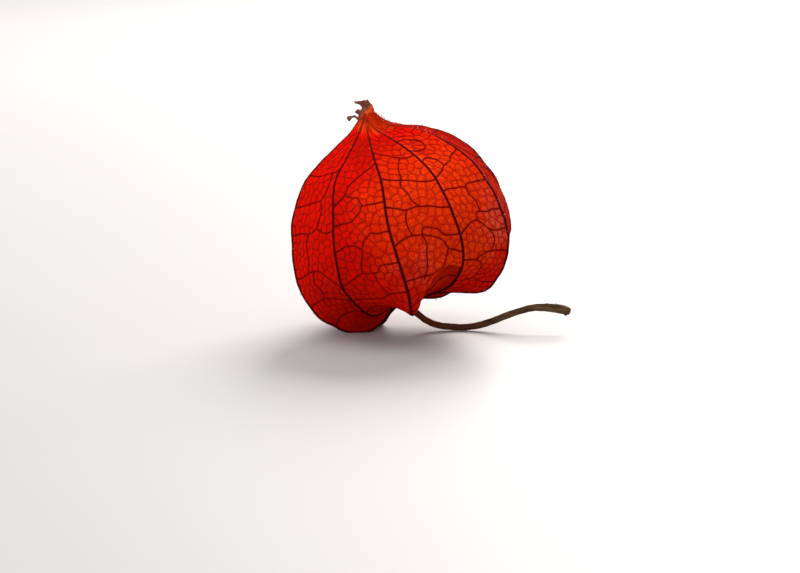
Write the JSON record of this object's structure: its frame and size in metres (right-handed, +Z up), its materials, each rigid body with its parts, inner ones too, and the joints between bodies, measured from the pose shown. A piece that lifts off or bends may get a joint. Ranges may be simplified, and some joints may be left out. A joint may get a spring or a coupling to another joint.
{
  "type": "physalis berry",
  "caption": "Dried physalis: a papery ribbed lantern husk with a raised vein net, lying on its lobed base beside its curved stalk, with the round berry inside.",
  "frame": {"origin": "on the ground under the middle of the whole, husk and stalk together", "axes": "+Z up from the surface it rests on, +X along the stalk towards its cut end, -Y towards the front of the husk"},
  "size_m": [0.0572, 0.046, 0.0469],
  "materials": {
    "husk": "dry papery calyx, translucent orange red with dark veins",
    "stalk": "dry brown stalk, matt",
    "berry": "smooth waxy orange skin"
  },
  "bodies": {
    "root": {"husk": "husk", "stem": "stalk", "berry": "berry"}
  },
  "joints": []
}
